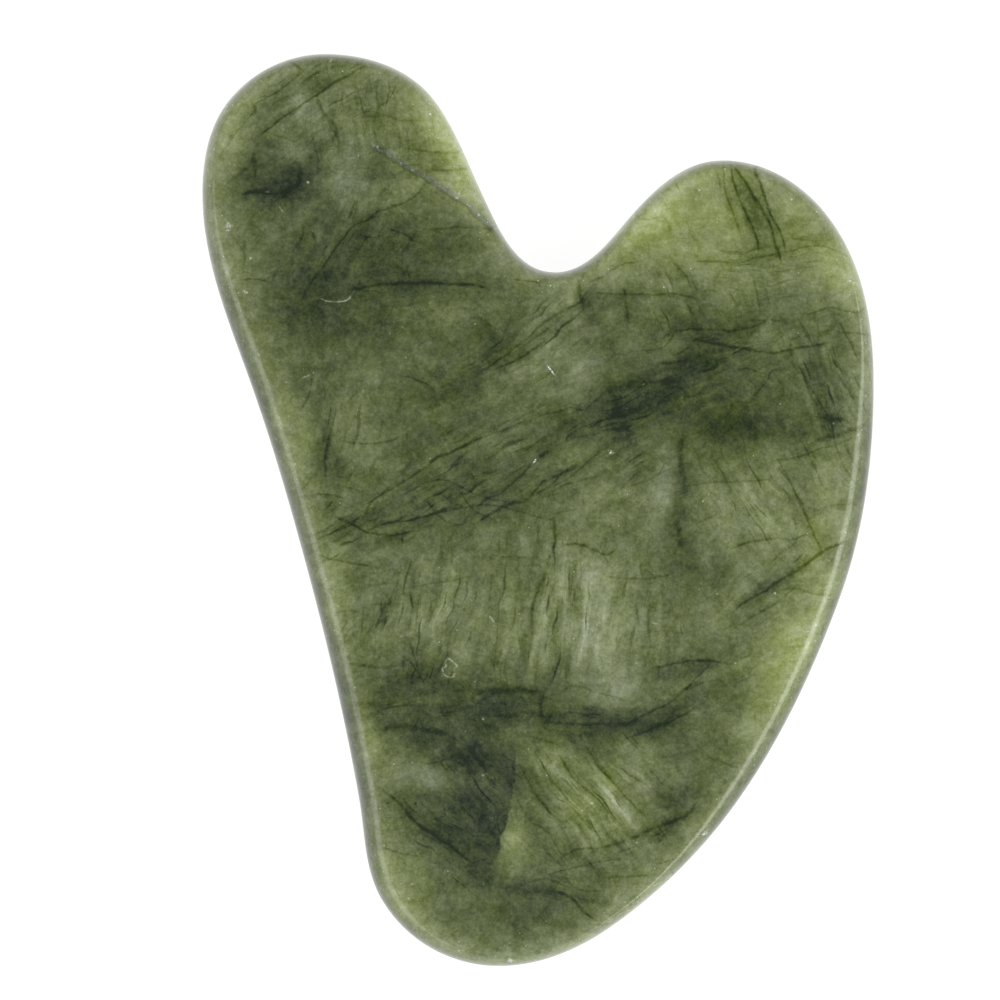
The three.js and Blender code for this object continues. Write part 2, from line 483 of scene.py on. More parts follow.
    (0.2, 10, (13.3, 25.5), (14.5, 23)),
    (0.13, 20, (12.2, 29.3), (12.6, 28.4)),
    (0.13, 14, (8.2, 26.3), (9.5, 25.9), (11, 26.1)),
    (0.14, 20, (14, 22.2), (18, 22.1), (19.5, 22.5), (22, 23), (24, 23.5), (25.5, 23.5), (28, 22.5)),
    (0.12, 12, (22, 24.2), (26, 24)),
    (0.14, 20, (5, 19.3), (10, 19.2), (12, 19.3), (14, 18.9)),
    (0.13, 24, (13.2, 18.5), (14, 17)),
    (0.13, 24, (17, 19.5), (17.6, 18.4)),
    (0.13, 18, (11, 17.8), (11.7, 16.8)),
    (0.13, 18, (19.1, 21.1), (19.8, 17.7)),
    (0.12, 14, (19.8, 21.1), (20.7, 18.2)),
    (0.12, 14, (10.3, 17.7), (11.2, 15.6)),
    (0.13, 12, (20.3, 21.1), (23.6, 21.6), (25.1, 21.8)),
    (0.14, 20, (24, 17.4), (26, 18), (28, 17.6), (29.5, 17.8)),
    # right side
    (0.15, 20, (11, 15.3), (12.4, 16), (14.8, 16.1), (17.5, 16), (19.6, 16.5), (20.7, 17), (21.7, 16.8)),
    (0.3, 18, (24.9, 15.4), (26.3, 16.3)),
    (0.22, 22, (22.4, 15.1), (22.9, 12.7), (23.4, 12.2)),
    (0.4, 22, (25.3, 8.4), (27.2, 8)),
    (0.34, 22, (24.8, 6.2), (27.9, 7), (29, 7.5)),
    (0.17, 28, (14, 15.2), (16, 14.8), (18.3, 14.4), (20.8, 14), (22.5, 14.3), (25.8, 14.9)),
    (0.13, 16, (26.6, 15.9), (29.6, 15.6)),
    (0.13, 26, (26.8, 16.8), (27.7, 15.1), (28.6, 13.2)),
    (0.12, 18, (25.6, 14.5), (26.2, 12.4)),
    (0.12, 18, (26.8, 12), (28.2, 9.7)),
    (0.13, 22, (22.9, 13.5), (24.2, 11), (26, 8), (26.4, 6), (27.3, 3.8), (28.2, 2.5)),
    (0.12, 16, (24.4, 10), (26.2, 7.5)),
    (0.12, 18, (23.7, 5.8), (25.3, 2.3)),
    (0.13, 22, (21.3, 4.5), (22.2, 3), (23.3, 0.6), (24.5, -2), (25.2, -3.5)),
    (0.12, 14, (18.9, 0.6), (20, -1.3)),
    (0.12, 14, (16, 4), (17.3, 1.5)),
    (0.13, 18, (22, 12.6), (20.8, 12.3), (20.2, 11.3), (19.2, 10.1)),
    (0.12, 16, (17, 12.3), (18.5, 12.6), (20, 12.2)),
    (0.13, 18, (12.8, 2), (15.5, 2.5), (17, 2.5), (20.5, 2.7)),
    (0.13, 18, (21, 4.4), (23, 4.7), (25, 5.4), (27, 6), (28.2, 6.6)),
    (0.12, 16, (24.5, 8.3), (26.5, 8.1)),
    (0.3, 34, (27.6, 7.3), (28.2, 6.9)),
    (0.12, 14, (24.2, -0.2), (26, 0.4), (27.8, 0.6)),
    (0.13, 18, (14, -1.3), (15.2, -0.7), (16, -0.3)),
    (0.14, 22, (17.2, -3.4), (19, -2.8), (21, -2.5), (22.5, -2.6), (24, -2.1)),
    (0.2, 32, (27.6, -2.8), (26, -3.3), (24.5, -4.3), (23, -5.4), (21.5, -6.3), (20, -7.3)),
    (0.16, 24, (20, -7.3), (18.4, -8.2), (17.5, -9)),
    (0.16, 22, (21.2, -8.3), (20, -9), (18.5, -9.8)),
    (0.15, 22, (21.8, -7.1), (23, -7), (24.5, -7.4), (26, -7.6)),
    (0.17, 26, (10.3, -14), (11.2, -13.9), (13.5, -13.4), (15, -13.4), (17, -13.7)),
    (0.15, 22, (15.2, -13.8), (14, -15), (12.8, -16.3), (11.5, -17.3), (9.5, -18.2), (7.5, -19.2)),
    (0.15, 20, (14.3, -17.4), (13, -18.2), (12, -18.7), (10, -19.5), (8, -20.3)),
    (0.12, 14, (22, -12.2), (24, -12.1)),
    # dark belt and toe
    (0.10, 18, (-11.5, -11.6), (-10.6, -14.3)),
    (0.12, 20, (0.2, -22.2), (1.2, -24.1), (3, -26.2)),
    (0.11, 18, (-1.4, -23.1), (-0.4, -25.1), (1.2, -27.2)),
    (0.10, 18, (0.6, -32.5), (4.6, -31.5), (7.5, -31)),
    (0.13, 20, (-11.7, -13.3), (-11, -14), (-10.2, -15.3)),
    (0.34, 26, (-5.6, -16.2), (-4, -16.1), (-2, -16), (0.2, -16.2)),
    (0.26, 24, (0.3, -16.4), (0.2, -17.6), (0.4, -18.8)),
    (0.2, 20, (0.3, -18.9), (3, -19), (8, -19.1)),
    (0.3, 20, (-14.5, -19.6), (-13, -19.3), (-11.5, -19.2), (-10, -19.6), (-8, -20)),
    (0.16, 16, (-1, -20.1), (0.5, -20.5), (2, -21)),
    (0.14, 14, (6.3, -20.8), (6.9, -21.4)),
    (0.3, 26, (-6.3, -20.8), (-5.5, -22), (-4.8, -23)),
    (0.16, 18, (-10, -22.6), (-9, -22.4), (-8, -22.1)),
    (0.2, 28, (-14, -24.8), (-12.5, -26), (-11, -27.7), (-9.5, -28.8), (-8, -29.8), (-6, -31.3)),
    (0.15, 20, (-7.5, -32.8), (-6, -34)),
    (0.13, 14, (-14.2, -30), (-12, -30.6), (-10, -31)),
    (0.5, -13, (0.3, -22.3), (2.5, -23.8)),
    (0.6, -15, (5, -23.5), (6.5, -25.4), (8, -27.5)),
    (0.5, -13, (8.5, -22.5), (10, -25)),
    (0.17, 32, (2, -22), (3, -23.7), (4, -24.7), (5.7, -26.2), (7, -28)),
    (0.16, 28, (5.2, -22.8), (6.5, -24), (7.5, -25.2), (9.5, -27.3)),
    (0.16, 22, (3, -26.5), (4, -27.6), (5, -28.8)),
    (0.15, 20, (0, -25.5), (1, -26.8), (2, -27.8)),
    (0.2, 24, (8, -29.4), (10.5, -28.2), (13, -27.3), (14, -26.2)),
    (0.14, 18, (11, -27.2), (11.7, -28)),
    (0.15, 18, (2, -31), (3.5, -30.2), (6, -30), (8, -29.3)),
    (0.14, 14, (4.5, -32), (7, -32)),
    (0.14, 14, (3, -33.8), (6, -34)),
    (0.16, 20, (-0.8, -33.2), (0.5, -32.8), (2, -33.3)),
    (0.2, 32, (1.8, -34), (3, -34.6), (4, -35.7), (5.2, -36.6)),
    (0.14, 16, (6, -32.7), (10.5, -32.5)),
    (0.13, 14, (15, -22), (16.5, -22.5), (18, -23)),
    (0.14, 18, (-8.1, -38.2), (-7, -37.3)),
    (0.13, 16, (-4, -38.9), (-3.4, -39.2)),
    (0.13, 16, (-1.6, -38.7), (-1, -39)),
]
# How far to each side a line is felt, from where on it fades, and how far out it is still written
VEIN_REACH = 0.65
VEIN_FADE_START = 0.39
VEIN_MARGIN = 0.95
# Two veins in one layer are at least this far apart
VEIN_GAP = 1.3
# A line fades over this length at each end, and its tip is this far into that length
VEIN_END_FADE = 0.7
VEIN_TIP = 0.25
# Beyond its tip a line is felt up to the first distance, and is gone at the second
VEIN_PAST = (0.1, 0.45)
# How wide a line is at its faded end, as a share of its full width, and where there is no line, in mm
VEIN_END_WIDTH = 0.35
NO_VEIN_WIDTH = 0.15
# The spacing of the places that a line is worked out at
LINE_STEP = 0.2
# How far a vein's plane, or a cloud, moves sideways for each mm of depth
LEAN = 0.35
# Steps of this angle, or of this share, give each number its own value, well apart from the last
GOLDEN_ANGLE = math.radians(137.5)
GOLDEN_SHARE = 0.618

# Small marks on the top face: x, y, half length, half width, angle, lighter
FLECKS = [
    (1.2, 12.4, 0.5, 0.09, -55, 150),
    (-0.3, 4.4, 0.28, 0.1, 50, 150),
    (6.5, 5.1, 0.3, 0.18, -20, 120),
    (-11.8, 13.6, 0.12, 0.12, 0, 90),
    (-13.2, 15.7, 0.1, 0.1, 0, 50),
    (-17.9, 14, 0.12, 0.1, 0, 45),
    (-20.7, 11.9, 0.5, 0.1, 20, 60),
    (-20.5, 29.2, 0.2, 0.13, 0, 95),
    (-22.9, 26.8, 0.35, 0.09, -60, 60),
    (-24.1, 28.35, 0.25, 0.1, 10, 100),
    (-27.6, 25.3, 0.45, 0.3, 60, 75),
    (-25.6, 22.4, 0.14, 0.12, 0, 80),
    (-26, 19.4, 0.35, 0.14, -15, 70),
    (-4.1, -9.7, 0.35, 0.14, -55, 75),
    (-4.9, -18.6, 0.16, 0.13, -40, 100),
    (-4.9, -23.6, 0.25, 0.1, 20, 80),
    (21.1, -7.4, 0.12, 0.12, 0, 80),
    (9.4, 11.2, 0.1, 0.1, 0, 90),
    (9.4, 10.3, 0.1, 0.1, 0, 70),
    (14.7, 0.8, 0.12, 0.1, 0, 70),
    (15.2, 1.4, 0.1, 0.1, 0, 60),
    (10.9, 0.1, 0.1, 0.1, 0, 60),
    (26.3, 7.7, 0.12, 0.1, 0, 60),
    (24.1, 6, 0.14, 0.1, 40, 60),
    (10.4, -10.1, 0.4, 0.1, -10, 60),
    (14.9, -28.8, 0.35, 0.2, 50, 90),
    (10, -28.8, 0.1, 0.1, 0, 60),
    (-11.5, -34.6, 0.12, 0.1, 0, 60),
    (-2.5, -40.1, 0.3, 0.22, 0, 70),
    (20.8, 29.5, 0.15, 0.1, -30, 60),
    (25, 26.5, 0.15, 0.1, -60, 60),
    (-8.1, 13.1, 0.13, 0.13, 0, -35),
    (-7.6, 9.3, 0.12, 0.12, 0, -35),
    (24.4, 23.9, 0.12, 0.12, 0, -35),
    (25.5, 25, 0.12, 0.12, 0, -35),
    (-13.4, -26.1, 0.14, 0.12, 0, -35),
    (-10.9, -26.1, 0.14, 0.12, 0, -35),
    (12, -32.4, 0.2, 0.16, 30, -60),
]
# A fleck is written this far beyond its half length, and fades between the two distances
FLECK_REACH = 0.7
FLECK_FADE = (0.1, 0.45)
# A distance that no mark is felt at
FAR = 9
# Flecks, scratch, ring and crack are marks on the surface, and go over the edge down to this share
# of the half thickness
TOP_SHARE = 0.9

# A white scratch, a grey healed crack and the outline of a small pale ring: points along each, and
# half widths. The ring is drawn with a share of the scratch's strength
SCRATCH = [(-19.4, 18.8), (-18.3, 18.55), (-17, 18.7), (-16.6, 19.2)]
CRACK = [(-14.7, 32.6), (-12.5, 31.2), (-10, 29.7), (-8, 28.4), (-6.3, 27.3), (-5, 26), (-3.7, 24.9)]
RING = [
    (-8.4, -13.6), (-8, -13.2), (-7.6, -13.5), (-7.2, -13.9), (-7.5, -14.2), (-7.4, -14.7),
    (-7.9, -14.9), (-8.4, -14.6), (-8.5, -14.1), (-8.2, -13.9), (-8.4, -13.6),
]
CRACK_WIDTH = 0.1
SCRATCH_WIDTH = 0.09
RING_STRENGTH = 0.8

# The dark block in the toe: its sharp right edge from top to bottom
BLOCK_EDGE = [
    (-1.6, -20.6), (-2, -21.5), (-2, -23.5), (-2.4, -26), (-2.9, -28), (-3.4, -29.2), (-3.3, -30),
    (-3.8, -31.6),
]
# How far from the edge it is looked for, and how fast its dark fades to the left
BLOCK_REACH = 8
BLOCK_FADE = 4.5
# It comes up over the first share of the edge's length, goes again from the second share on, and
# beyond the edge's tips it goes between two distances
BLOCK_TOP = 0.12
BLOCK_BOTTOM = 0.85
BLOCK_PAST = (0.2, 1.5)
# The pale block to the right of it: x, y, reach in x, reach in y
PALE_PATCH = (-2.3, -29.4, 1.3, 1.7)


# ---------------------------------------------------------------- stage

def make_camera():
    """Straight above the stone, looking down."""
    data = bpy.data.cameras.new("camera")
    data.sensor_width = SENSOR_WIDTH
    data.lens = SENSOR_WIDTH * CAMERA_HEIGHT / VIEW_WIDTH
    camera = bpy.data.objects.new("camera", data)
    camera.location = (*VIEW_CENTRE, MIDDLE_Z + CAMERA_HEIGHT)
    bpy.context.scene.collection.objects.link(camera)
    bpy.context.scene.camera = camera


def make_floor():
    """A wide table, bright enough to show as plain white."""
    half = 1.5
    mesh = bpy.data.meshes.new("floor")
    corners = [(-half, -half, 0), (half, -half, 0), (half, half, 0), (-half, half, 0)]
    mesh.from_pydata(corners, [], [(0, 1, 2, 3)])
    floor = bpy.data.objects.new("floor", mesh)
    bpy.context.scene.collection.objects.link(floor)
    material = bpy.data.materials.new("white_table")
    material.use_nodes = True
    shader = material.node_tree.nodes["Principled BSDF"]
    shader.inputs["Base Color"].default_value = (0.12, 0.12, 0.12, 1)
    shader.inputs["Roughness"].default_value = 0.9
    shader.inputs["Specular IOR Level"].default_value = 0.1
    shader.inputs["Emission Color"].default_value = (1, 1, 1, 1)
    shader.inputs["Emission Strength"].default_value = 0.95
    mesh.materials.append(material)


def make_softbox(name, azimuth, elevation, width, height, power):
    """A soft box 0.6 m from the stone, aimed at it. Its width runs round the stone."""
    distance = 0.6
    data = bpy.data.lights.new(name, "AREA")
    data.shape = "RECTANGLE"
    data.size = width
    data.size_y = height
    data.energy = power
    light = bpy.data.objects.new(name, data)
    round_angle = math.radians(azimuth)
    up_angle = math.radians(elevation)
    level = distance * math.cos(up_angle)
    height_over = distance * math.sin(up_angle)
    place = Vector((level * math.cos(round_angle), level * math.sin(round_angle), height_over))
    light.location = place
    light.rotation_euler = place.to_track_quat("Z", "Y").to_euler()
    bpy.context.scene.collection.objects.link(light)


def make_world():
    """White round the horizon and dark grey overhead, so that the polished top keeps its colour."""
    world = bpy.data.worlds.new("studio")
    world.use_nodes = True
    nodes = world.node_tree.nodes
    links = world.node_tree.links
    coordinates = nodes.new("ShaderNodeTexCoord")
    split = nodes.new("ShaderNodeSeparateXYZ")
    ramp = nodes.new("ShaderNodeValToRGB")
    ramp.color_ramp.elements[0].position = 0.15
    ramp.color_ramp.elements[0].color = (1, 1, 1, 1)
    ramp.color_ramp.elements[1].position = 0.75
    ramp.color_ramp.elements[1].color = (0.12, 0.12, 0.12, 1)
    links.new(coordinates.outputs["Generated"], split.inputs[0])
    links.new(split.outputs["Z"], ramp.inputs["Fac"])
    links.new(ramp.outputs["Color"], nodes["Background"].inputs["Color"])
    bpy.context.scene.world = world


# ---------------------------------------------------------------- painting the pattern on points
# Here depth is how far below the top face a point is, and rim how far in from the outline, in mm

def smooth_noise(x, y, z, seed=0):
    """Smooth noise from -1 to 1 with about one bump per unit.

    The large factors have no meaning: they only scatter the values of neighbouring cells.
    """
    cells = [np.floor(v) for v in (x, y, z)]
    parts = [v - cell for v, cell in zip((x, y, z), cells)]
    blends = [part * part * (3 - 2 * part) for part in parts]
    total = 0
    for i in (0, 1):
        for j in (0, 1):
            for k in (0, 1):
                weight = 1
                for corner, blend in zip((i, j, k), blends):
                    weight = weight * (blend if corner else 1 - blend)
                scatter = (cells[0] + i) * 127.1 + (cells[1] + j) * 311.7 + (cells[2] + k) * 74.7
                scatter = scatter + seed * 53.3
                value = np.sin(scatter) * 43758.5453
                total = total + weight * ((value - np.floor(value)) * 2 - 1)
    return total


def smooth_step(value, start, end):
    """From 0 up to the start to 1 from the end on, smoothly."""
    t = np.clip((value - start) / (end - start), 0, 1)
    return t * t * (3 - 2 * t)


def mixed(first, second, share):
    """From the first value where the share is 0 to the second where it is 1."""
    return first + (second - first) * share


def hermite(t, start, end, start_slope, end_slope):
    """Places on the smooth curve between two points that has these slopes at its ends."""
    return (
        (2 * t**3 - 3 * t**2 + 1) * start
        + (t**3 - 2 * t**2 + t) * start_slope
        + (3 * t**2 - 2 * t**3) * end
        + (t**3 - t**2) * end_slope
    )


def leaned(x, y, depth, number):
    """Where a point at this depth lies against a pattern that leans its own way into the stone."""
    angle = number * GOLDEN_ANGLE
    shift = LEAN * depth
    return x - shift * math.cos(angle), y - shift * math.sin(angle)


def turned(x, y, centre_x, centre_y, angle):
    """x and y seen from a centre, along and across a direction."""
    turn = math.radians(angle)
    along = (x - centre_x) * math.cos(turn) + (y - centre_y) * math.sin(turn)
    across = (y - centre_y) * math.cos(turn) - (x - centre_x) * math.sin(turn)
    return along, across


def paint_tone(x, y, depth, rim):
    """Lightness, warmth and distance from the stone's outline. The lightness holds the rim's painted
    light and the outline's painted shade.
    """
    warps = [
        CLOUD_WARP * smooth_noise(x / CLOUD_WARP_SIZE, y / CLOUD_WARP_SIZE, depth / CLOUD_WARP_SIZE, seed)
        for seed in (1, 2)
    ]
    clouds = np.zeros(x.shape)
    warm = np.zeros(x.shape)
    number = 0
    for (lighter, warmer), places in CLOUDS:
        for cx, cy, long, wide, angle in places:
            px, py = leaned(x + warps[0], y + warps[1], depth, number)
            along, across = turned(px, py, cx, cy, angle)
            mark = np.exp(-((along / long) ** 2) - (across / wide) ** 2)
            clouds += lighter * mark
            warm += warmer * mark
            number += 1
    light = BASE_LIGHTNESS + CLOUD_LIMIT * np.tanh(clouds / CLOUD_LIMIT)
    # Painted light, as if coming through the thin rim
    light += RIM_PAINTED_LIGHT * np.exp(-np.maximum(rim, RIM_PAINTED_LIGHT_EVEN) / RIM_PAINTED_LIGHT_FADE)
    # Painted shade along the outline, reaching further in on the flanks
    flank = flank_share(x, y)
    painted_shade_end = mixed(LOBE_PAINTED_SHADE_END, FLANK_PAINTED_SHADE_END, flank)
    light -= mixed(LOBE_PAINTED_SHADE, FLANK_PAINTED_SHADE, flank) * (1 - smooth_step(rim, EDGE_PAINTED_SHADE_START, painted_shade_end))
    return np.column_stack([light, warm, rim])


def paint_fibres(x, y, depth, zones):
    """Across and along the fibres of the strongest zone at each point, and its strength."""
    values = np.zeros((len(x), 3))
    for number, (cx, cy, long, wide, angle, strength) in enumerate(zones):
        px, py = leaned(x, y, depth, number)
        along, across = turned(px, py, cx, cy, angle)
        mark = strength * np.exp(-((along / long) ** 2) - (across / wide) ** 2)
        wins = mark > values[:, 2]
        lead = np.abs(mark - values[:, 2])
        values[wins, 0] = across[wins] + FIBRE_ZONE_STEP * number
        values[wins, 1] = along[wins]
        values[:, 2] = np.minimum(np.maximum(mark, values[:, 2]), FIBRE_SEAM * lead)
    return values


def fine_line(points):
    """A smooth curve through the points, as close places and unit directions."""
    points = np.array(points, float)
    before = np.vstack([2 * points[0] - points[1], points[:-1]])
    after = np.vstack([points[1:], 2 * points[-1] - points[-2]])
    slopes = (after - before) / 2
    places = []
    for i in range(len(points) - 1):
        length = np.linalg.norm(points[i + 1] - points[i])
        t = np.linspace(0, 1, max(2, int(length / LINE_STEP)), endpoint=False)[:, None]
        places.append(hermite(t, points[i], points[i + 1], slopes[i], slopes[i + 1]))
    places = np.vstack(places + [points[-1:]])
    ways = np.gradient(places, axis=0)
    ways /= np.linalg.norm(ways, axis=1)[:, None]
    return places, ways


def line_offsets(x, y, line, reach):
    """Points within reach of a line: their numbers, side distance, place along it and overshoot."""
    places, ways = line
    low = places.min(axis=0) - reach
    high = places.max(axis=0) + reach
    near = np.flatnonzero((x > low[0]) & (x < high[0]) & (y > low[1]) & (y < high[1]))
    if len(near) == 0:
        return near, None, None, None
    gaps = np.column_stack([x[near], y[near]])[:, None, :] - places[None, :, :]
    closest = np.argmin((gaps**2).sum(axis=2), axis=1)
    gap = gaps[np.arange(len(near)), closest]
    way = ways[closest]
    side = way[:, 0] * gap[:, 1] - way[:, 1] * gap[:, 0]
    past = np.abs(way[:, 0] * gap[:, 0] + way[:, 1] * gap[:, 1])
    return near, side, closest / (len(places) - 1), past


def no_lines(count):
    """A layer without lines: how far to the side the nearest one is, its strength and half width."""
    layer = np.zeros((count, 3))
    layer[:, 0] = VEIN_REACH
    layer[:, 2] = NO_VEIN_WIDTH
    return layer


def paint_line(x, y, line, width, strength, layer):
    """Side distance, strength and half width of one line, written where it is the strongest one."""
    near, side, along, past = line_offsets(x, y, line, VEIN_MARGIN)
    if len(near) == 0:
        return
    length = len(line[0]) * LINE_STEP
    ends = np.minimum(along, 1 - along) * length + VEIN_TIP
    fade = smooth_step(ends, 0, VEIN_END_FADE) * (1 - smooth_step(past, *VEIN_PAST))
    strength = np.broadcast_to(strength, x.shape)[near]
    force = strength * fade * (1 - smooth_step(np.abs(side), VEIN_FADE_START, VEIN_REACH))
    wins = (np.abs(side) < VEIN_MARGIN) & (np.abs(force) >= np.abs(layer[near, 1]))
    chosen = near[wins]
    layer[chosen, 0] = side[wins]
    layer[chosen, 1] = force[wins]
    layer[chosen, 2] = width * mixed(VEIN_END_WIDTH, 1, fade[wins])


def sort_veins():
    """The veins' fine lines in layers, so that no two in one layer come close to each other."""
    layers = []
    for number, (width, darkness, *points) in enumerate(VEINS):
        line = fine_line(points)
        for layer in layers:
            others = np.vstack([other[0] for _, _, _, other in layer])
            if np.min(np.linalg.norm(line[0][:, None] - others[None], axis=2)) > VEIN_GAP:
                layer.append((number, width, darkness, line))
                break
        else:
            layers.append([(number, width, darkness, line)])
    return layers


def paint_veins(x, y, depth):
    """The veins' layers. Each vein keeps its own share of its strength down to the underside."""
    painted = []
    thickness = 2 * HALF_THICKNESS / MM
    for layer in sort_veins():
        values = no_lines(len(x))
        for number, width, darkness, line in layer:
            px, py = leaned(x, y, depth, number)
            through = (number * GOLDEN_SHARE) % 1
            kept = 1 - depth / thickness * (1 - through)
            paint_line(px, py, line, width, darkness * kept, values)
        painted.append(values)
    return painted


def paint_flecks(x, y, top):
    """Place in the nearest fleck's own frame, one unit at its edge, and how much lighter it is."""
    values = np.zeros((len(x), 3))
    values[:, :2] = FAR
    nearest = np.full(len(x), float(FAR))
    for cx, cy, long, wide, angle, lighter in FLECKS:
        away = np.hypot(x - cx, y - cy)
        wins = top & (away < long + FLECK_REACH) & (away < nearest)
        along, across = turned(x[wins], y[wins], cx, cy, angle)
        nearest[wins] = away[wins]
        values[wins, 0] = along / long
        values[wins, 1] = across / wide
        values[wins, 2] = lighter * (1 - smooth_step(away[wins] - long, *FLECK_FADE))
    return values


def paint_cracks(x, y, top):
    """Side distance, strength and half width of the healed crack, and of the scratch and the ring."""
    crack = no_lines(len(x))
    scratch = no_lines(len(x))
    paint_line(x, y, fine_line(CRACK), CRACK_WIDTH, 1, crack)
    paint_line(x, y, fine_line(SCRATCH), SCRATCH_WIDTH, 1, scratch)
    paint_line(x, y, fine_line(RING), SCRATCH_WIDTH, RING_STRENGTH, scratch)
    crack[~top, 1] = 0
    scratch[~top, 1] = 0
    return crack, scratch


def paint_block(x, y, depth):
    """Side distance from the toe block's edge, and how strong the dark and pale sides are."""
    px, py = leaned(x, y, depth, 3)
    values = np.zeros((len(x), 3))
    values[:, 0] = FAR
    near, side, along, past = line_offsets(px, py, fine_line(BLOCK_EDGE), BLOCK_REACH)
    ends = smooth_step(along, 0, BLOCK_TOP) * (1 - smooth_step(along, BLOCK_BOTTOM, 1))
    ends = ends * (1 - smooth_step(past, *BLOCK_PAST))
    cx, cy, reach_x, reach_y = PALE_PATCH
    values[near, 0] = side
    values[near, 1] = ends * np.exp(-((np.maximum(-side, 0) / BLOCK_FADE) ** 2))
    values[near, 2] = np.exp(-((px[near] - cx) / reach_x) ** 2 - ((py[near] - cy) / reach_y) ** 2)
    return values


# ---------------------------------------------------------------- mesh

def cad_outline():
    """The CAD slab's outline at mid-height: its points in order round the middle.

    They are where the upright band in its edge ends, a tenth of the half thickness over the middle.
    """
    band = HALF_THICKNESS / 5
    ring = {}
    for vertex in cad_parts[NODE].data.vertices:
        if 0 < vertex.co.z - MIDDLE_Z < band:
            ring[(round(vertex.co.x, 6), round(vertex.co.y, 6))] = vertex.co.xy
    points = sorted(ring.values(), key=lambda p: math.atan2(p.y, p.x))
    return np.array([tuple(p) for p in points])


def even_loop(points, count):
    """count evenly spaced points on the smooth closed curve through the given ones."""
    after = np.roll(points, -1, axis=0)
    steps = np.linalg.norm(after - points, axis=1)
    starts = np.concatenate([[0], np.cumsum(steps)[:-1]])
    slopes = (after - np.roll(points, 1, axis=0)) / (steps + np.roll(steps, 1))[:, None]
    places = np.linspace(0, steps.sum(), count, endpoint=False)
    i = np.searchsorted(starts, places, side="right") - 1
    j = (i + 1) % len(points)
    step = steps[i][:, None]
    t = ((places - starts[i]) / steps[i])[:, None]
    return hermite(t, points[i], points[j], step * slopes[i], step * slopes[j])


def outward(loop):
    """Unit vectors out of a closed loop that runs anticlockwise."""
    along = np.roll(loop, -1, axis=0) - np.roll(loop, 1, axis=0)
    along /= np.linalg.norm(along, axis=1)[:, None]
    return np.stack([along[:, 1], -along[:, 0]], axis=1)


def face_points(ring):
    """Inner points of a flat face, on a triangular grid, kept clear of its edge."""
    low = ring.min(axis=0)
    high = ring.max(axis=0)
    row_step = FACE_SPACING * math.sqrt(3) / 2
    ring_next = np.roll(ring, -1, axis=0)
    found = []
    for row, y in enumerate(np.arange(low[1], high[1], row_step)):
        x = np.arange(low[0], high[0], FACE_SPACING) + (row % 2) * FACE_SPACING / 2
        crosses = (ring[:, 1] > y) != (ring_next[:, 1] > y)
        a, b = ring[crosses], ring_next[crosses]
        cuts = np.sort(a[:, 0] + (y - a[:, 1]) * (b[:, 0] - a[:, 0]) / (b[:, 1] - a[:, 1]))
        inside = np.searchsorted(cuts, x) % 2 == 1
        found += [(px, y) for px in x[inside]]
    found = np.array(found)
    return found[gap_to(ring, found) > FACE_CLEARANCE * FACE_SPACING]


def gap_to(ring, points):
    """How far each point is from the ring's nearest point."""
    return np.array([np.min(np.hypot(*(ring - p).T)) for p in points])


def flank_share(x, y):
    """From 1 on the two long flanks to 0 on the lobes and the toe's tip."""
    around = np.degrees(np.arctan2(y, x))
    share = np.zeros(len(x))
    for middle, spread in FLANKS:
        away = np.abs((around - middle + 180) % 360 - 180)
        share = np.maximum(share, 1 - smooth_step(away, spread - FLANK_BLEND, spread + FLANK_BLEND))
    return share


def rim_widths(loop):
    """How far the rounded edge reaches in from each point of the outline."""
    flank = flank_share(loop[:, 0], loop[:, 1])
    x, y = (loop / RIM_CHANGE_LENGTH).T
    swell = smooth_noise(x, y, np.zeros(len(loop)))
    return mixed(RIM_WIDTH, FLANK_RIM_WIDTH, flank) * (1 + RIM_WIDTH_CHANGE * swell)


def rim_levels(loop):
    """Loops round the edge, from the lower flat face to the upper one, and how far in each one lies.

    From the middle of the edge to each face they follow a quarter of an ellipse.
    """
    normals = outward(loop)
    widths = rim_widths(loop)[:, None]
    levels = []
    insets = []
    for k in range(-RIM_LOOPS, RIM_LOOPS + 1):
        angle = k / RIM_LOOPS * math.pi / 2
        inset = widths * (1 - math.cos(angle))
        height = np.full(len(loop), MIDDLE_Z + HALF_THICKNESS * math.sin(angle))
        levels.append(np.column_stack([loop - normals * inset, height]))
        insets.append(inset[:, 0])
    return levels, insets


def band_faces(level_count, count):
    """Four-sided faces between neighbouring loops of this many points."""
    faces = []
    for start in range(0, (level_count - 1) * count, count):
        for i in range(count):
            a, b = start + i, start + (i + 1) % count
            faces.append((a, b, b + count, a + count))
    return faces


def sink_pits(points):
    """Lowers the points of the upper half that are in a pit."""
    upper = points[:, 2] > MIDDLE_Z
    for x, y, radius, depth in PITS:
        away = np.hypot(points[upper, 0] - x * MM, points[upper, 1] - y * MM) / (radius * MM)
        points[upper, 2] -= depth * MM * np.exp(-(away**2))


